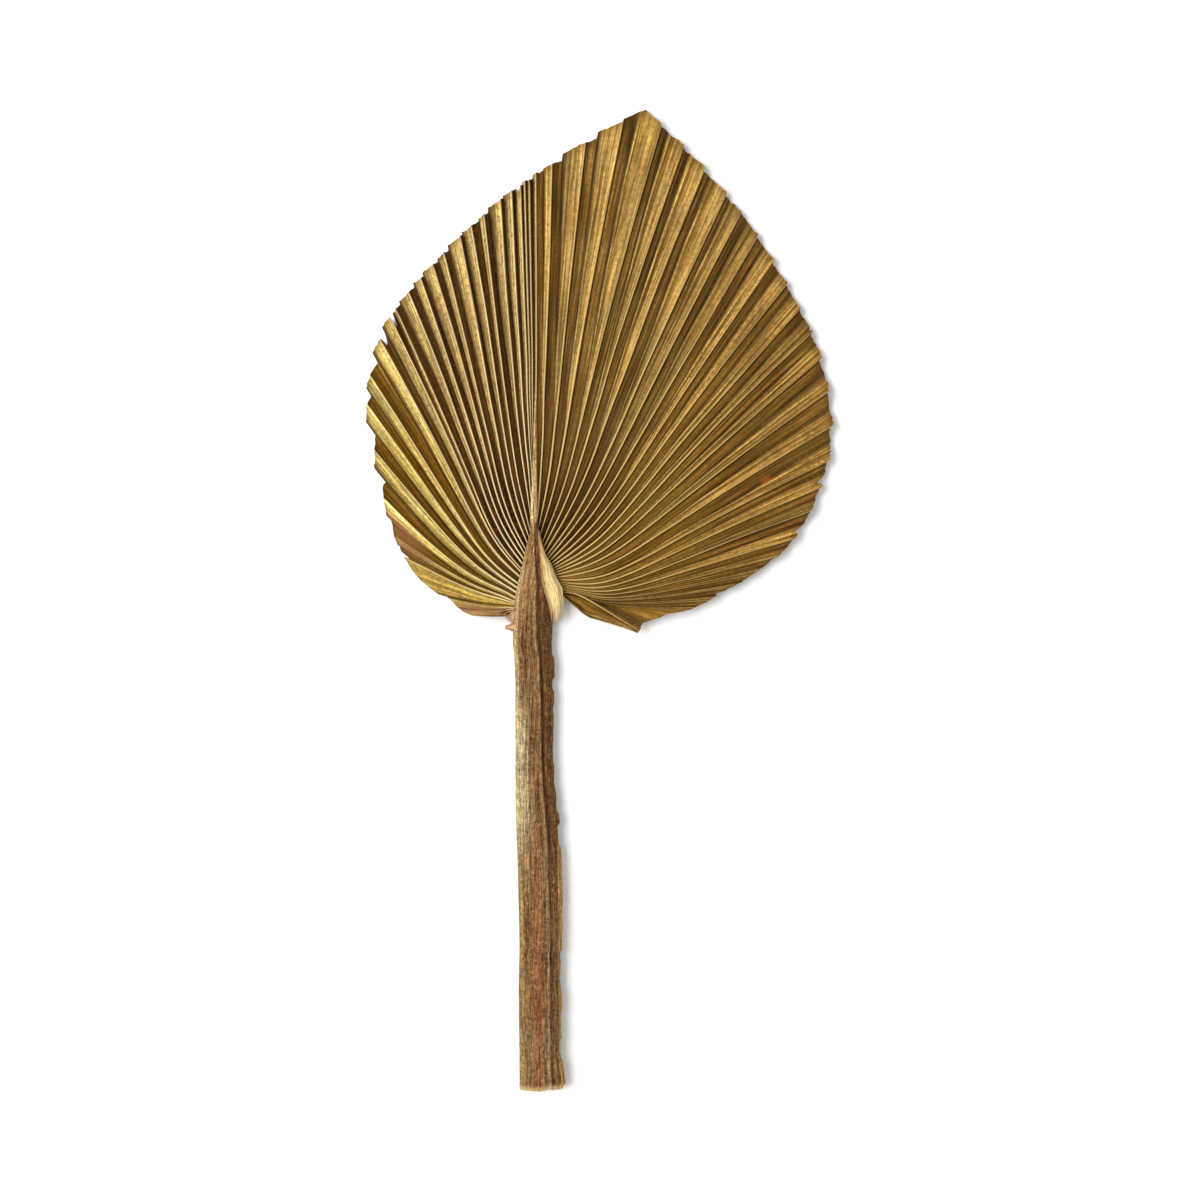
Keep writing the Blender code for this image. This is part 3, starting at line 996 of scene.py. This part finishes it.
def blade_material():
    """Straw to brown leaf. The light and shade of a light from the left are painted in."""
    g = BladeGraph("dry_blade", 0.6)
    # Painted light and shade: each point mixes the darker and the lit copy by how lit it is.
    face = g.mix(g.lit, painted_shade_sides(g), painted_light_sides(g))
    face = g.mix(g.times(g.lobe, 0.75), face, srgb(172, 140, 64))
    colour = with_painted_ridge_light(g, with_painted_shade(g, face))
    colour = with_crest_ribs_and_highlight(g, mottled(g, colour))
    colour = with_marks(g, colour)
    back = g.mix(g.remap(g.streaks, 0.4, 0.65), srgb(172, 144, 82), srgb(136, 104, 52))
    colour = g.mix(g.times(g.attribute("underside"), 0.7), colour, back)
    g.bump(g.plus(g.times(g.streaks, 0.6), g.times(g.fine, 0.4)), 0.8, 0.001)
    return g.finish(colour, g.remap(g.mottle, 0.3, 0.7, 0.48, 0.72))


class StalkGraph(Graph):
    """A graph that also holds the stalk's point attributes and noises."""

    def __init__(self, name, roughness):
        super().__init__(name, roughness)
        self.share = self.attribute("share")
        self.along = self.attribute("along_mm")
        self.cut = self.attribute("cut")
        self.beside = self.minus(self.share, self.attribute("groove_at"))
        slow_turn = self.noise(self.vector(0.0, self.times(self.along, 0.03)), 1.0)
        self.across = self.plus(self.share, self.times(self.minus(slow_turn, 0.5), 0.04))
        self.girth = self.plus(self.attribute("girth_mm"), slow_turn)
        self.wide = self.strands(self.girth, self.along, 0.3, 0.02, 4.0, 0.65)
        self.fibres = self.strands(self.girth, self.along, 1.0, 0.035, 5.0, 0.7)
        self.hairs = self.strands(self.girth, self.along, 2.1, 0.13, 3.0, 0.7)
        self.mottle = self.noise(self.place, 520.0, 3.0, 0.75)


def stalk_ground(g):
    """Brown with grey-olive weathering, painted shade right of the groove, a paler shoulder near the top, and
    a painted highlight on the ridge left of the groove.
    """
    colour = g.mix(g.remap(g.wide, 0.38, 0.62), srgb(130, 95, 59), srgb(96, 65, 38))
    weathered = g.remap(g.noise(g.place, 34.0, 4.0, 0.65), 0.42, 0.6)
    weathered = g.times(weathered, g.remap(g.along, -20.0, -70.0, 0.1, 1.0))
    colour = g.mix(g.times(weathered, 0.55), colour, srgb(124, 104, 70))
    # Painted shade on the side right of the groove, which faces away from the light.
    painted_shade_right_of_groove = g.mix(g.remap(g.along, -170.0, -210.0), srgb(90, 56, 30), srgb(100, 76, 49))
    colour = g.mix(g.times(g.remap(g.beside, 0.0, 0.03), 0.7), colour, painted_shade_right_of_groove)
    shoulder = g.times(g.remap(g.along, -35.0, -5.0), g.remap(g.beside, 0.03, -0.08))
    colour = g.mix(g.times(shoulder, 0.6), colour, srgb(156, 118, 74))
    # Painted highlight on the ridge just left of the groove.
    crest = g.times(g.remap(g.beside, -0.16, -0.08), g.remap(g.beside, -0.03, -0.07))
    return g.mix(g.times(crest, 0.5), colour, srgb(162, 126, 90))


def with_stalk_areas(g, colour):
    """The red-brown streak, the pale scale, painted light on the left rim, the chips and the costa."""
    aside = g.math("ABSOLUTE", g.minus(g.across, 0.47))
    streak = g.times(g.remap(aside, 0.15, 0.06), g.remap(g.along, -120.0, -190.0))
    streak = g.times(streak, g.remap(g.fibres, 0.35, 0.6, 0.3, 0.75))
    colour = g.mix(streak, colour, srgb(142, 84, 54))
    scale = g.times(g.remap(g.along, -60.0, -85.0), g.remap(g.along, -165.0, -120.0))
    scale = g.times(scale, g.remap(g.plus(g.across, g.times(g.wide, 0.5)), 0.72, 0.45))
    colour = g.mix(g.times(scale, 0.65), colour, srgb(188, 170, 130))
    # Painted light along the left rim, the side that faces the light.
    rim = g.times(g.remap(g.across, 0.15, 0.08), g.remap(g.along, -190.0, -60.0, 0.25, 0.8))
    rim = g.times(rim, g.remap(g.along, 30.0, -5.0))
    colour = g.mix(rim, colour, srgb(176, 152, 108))
    chips = g.times(g.remap(g.share, 0.93, 0.98), g.remap(g.along, -140.0, -150.0, 0.15, 0.8))
    colour = g.mix(chips, colour, srgb(176, 136, 80))
    costa = g.mix(g.remap(g.along, 45.0, 85.0), srgb(206, 174, 124), srgb(172, 138, 86))
    return g.mix(g.remap(g.along, 33.0, 40.0, 0.0, 0.9), colour, costa)


def with_fibres(g, colour):
    """Fibres, hairs and mottling, pale flecks and painted shade in the groove."""
    colour = g.scale(colour, g.remap(g.fibres, 0.34, 0.64, 1.4, 0.58))
    colour = g.scale(colour, g.remap(g.hairs, 0.34, 0.66, 1.38, 0.56))
    colour = g.scale(colour, g.remap(g.mottle, 0.35, 0.68, 1.3, 0.6))
    flecks = g.strands(g.girth, g.along, 2.6, 0.4, 1.0, 0.5)
    colour = g.mix(g.remap(flecks, 0.66, 0.74, 0.0, 0.6), colour, srgb(214, 182, 134))
    # Painted shade in the groove.
    groove_shade = g.times(g.remap(g.attribute("groove"), 0.1, 0.8), g.remap(g.along, -190.0, -120.0, 0.5, 0.75))
    return g.mix(groove_shade, colour, srgb(44, 24, 10))


def stalk_material():
    """Rough brown fibres, with a paler underside and a pithy sawn end."""
    g = StalkGraph("dry_stalk", 0.75)
    colour = with_fibres(g, with_stalk_areas(g, stalk_ground(g)))
    back = g.mix(g.remap(g.fibres, 0.4, 0.6), srgb(158, 128, 84), srgb(116, 86, 52))
    colour = g.mix(g.times(g.attribute("underside"), 0.7), colour, back)
    pores = g.cells(900.0)
    end = g.mix(g.remap(pores, 0.25, 0.5), srgb(104, 70, 40), srgb(206, 176, 128))
    colour = g.mix(g.cut, colour, end)
    colour = g.mix(g.remap(g.along, -284.5, -288.0, 0.0, 0.6), colour, srgb(206, 176, 122))
    relief = g.plus(g.times(g.fibres, 0.6), g.times(g.hairs, 0.4))
    relief = g.minus(relief, g.times(g.remap(pores, 0.4, 0.2), g.cut))
    g.bump(relief, 0.9, 0.0012)
    return g.finish(colour, g.remap(g.mottle, 0.3, 0.7, 0.62, 0.85))


def flap_material():
    """Pale papery fibre, browner towards its left side and its frayed ends."""
    g = Graph("papery_flap", 0.7)
    share = g.attribute("share")
    fibres = g.strands(share, g.attribute("along_mm"), 26.0, 0.16, 6.0, 0.75)
    mottle = g.noise(g.place, 300.0, 3.0, 0.6)
    colour = g.mix(g.remap(fibres, 0.42, 0.68), srgb(226, 204, 148), srgb(182, 148, 94))
    browner = g.remap(g.plus(share, g.times(fibres, 0.3)), 0.5, 0.14, 0.0, 0.9)
    colour = g.mix(browner, colour, srgb(140, 100, 58))
    colour = g.mix(g.remap(mottle, 0.5, 0.75, 0.0, 0.4), colour, srgb(168, 134, 76))
    colour = g.mix(g.remap(g.attribute("frayed"), 0.5, 1.0, 0.0, 0.35), colour, srgb(166, 128, 76))
    g.bump(fibres, 0.6, 0.0006)
    return g.finish(colour, g.remap(mottle, 0.3, 0.7, 0.6, 0.8))


def fray_material():
    """Cream rib ends that turn pinkish brown towards their tips."""
    g = Graph("frayed_rib_ends", 0.7)
    mottle = g.noise(g.place, 320.0, 3.0, 0.6)
    aside = g.math("ABSOLUTE", g.minus(g.attribute("share"), 0.5))
    colour = g.mix(g.remap(aside, 0.2, 0.45), srgb(196, 158, 114), srgb(92, 56, 34))
    colour = g.mix(g.remap(g.attribute("frayed"), 0.35, 1.0, 0.0, 0.8), colour, srgb(158, 110, 84))
    colour = g.mix(g.remap(mottle, 0.45, 0.75, 0.0, 0.5), colour, srgb(96, 62, 42))
    g.bump(mottle, 0.4, 0.0004)
    return g.finish(colour)


def floor_material():
    """Nearly white, with a faint tooth."""
    g = Graph("pale_floor", 0.8)
    tooth = g.remap(g.noise(g.place, 400.0, 3.0, 0.5), 0.3, 0.7)
    return g.finish(g.mix(tooth, srgb(243, 243, 242), srgb(246, 246, 245)))


# The stage


def add_floor():
    """A wide floor at Z = 0."""
    mesh = bpy.data.meshes.new("floor")
    far = FLOOR_REACH
    corners = [(-far, -far, 0), (far, -far, 0), (far, far, 0), (-far, far, 0)]
    mesh.from_pydata(corners, [], [(0, 1, 2, 3)])
    mesh.materials.append(floor_material())
    floor = bpy.data.objects.new("floor", mesh)
    bpy.context.scene.collection.objects.link(floor)


def add_key_light():
    """A broad soft light from the left, which brightens the face before each crest."""
    data = bpy.data.lights.new("key", "SUN")
    data.energy = KEY_POWER
    data.angle = math.radians(KEY_SOFTNESS)
    light = bpy.data.objects.new("key", data)
    light.rotation_euler = (math.radians(90 - KEY_HEIGHT), 0, math.radians(-90 - KEY_TURN))
    bpy.context.scene.collection.objects.link(light)


def add_world(strength):
    """Even white light from all round."""
    world = bpy.data.worlds.new("studio")
    world.use_nodes = True
    background = world.node_tree.nodes["Background"]
    background.inputs["Color"].default_value = (1.0, 1.0, 1.0, 1.0)
    background.inputs["Strength"].default_value = strength
    bpy.context.scene.world = world


def add_camera():
    """Straight above the middle of the leaf, tip upwards in the picture."""
    low, high = np.array(cad_box)
    data = bpy.data.cameras.new("camera")
    data.lens = LENS
    data.sensor_width = SENSOR
    camera = bpy.data.objects.new("camera", data)
    frame_width = (high[1] - low[1]) / FRAME_SHARE
    above = frame_width * LENS / SENSOR + MID_HEIGHT * MM
    camera.location = ((low[0] + high[0]) / 2, (low[1] + high[1]) / 2, above)
    bpy.context.scene.collection.objects.link(camera)
    bpy.context.scene.camera = camera


def add_stage():
    """The floor, the lights and the camera."""
    add_floor()
    add_key_light()
    add_world(FILL)
    add_camera()
    bpy.context.scene.view_settings.view_transform = "Standard"


# The leaf


def attach(piece, material):
    """Give a piece its material and slot, and let it stand in for the leaf's solid."""
    piece.data.materials.clear()
    piece.data.materials.append(material)
    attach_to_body(piece, "root")
    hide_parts("palm_leaf")


def make_leaf():
    """All the visual pieces of the leaf."""
    blade = blade_material()
    attach(blade_half("blade_left", 0, HALVES_MEET), blade)
    attach(blade_half("blade_right", HALVES_MEET, len(CRESTS) + 1), blade)
    attach(make_stalk(), stalk_material())
    attach(make_flap(), flap_material())
    attach(make_frays(), fray_material())


make_leaf()
add_stage()
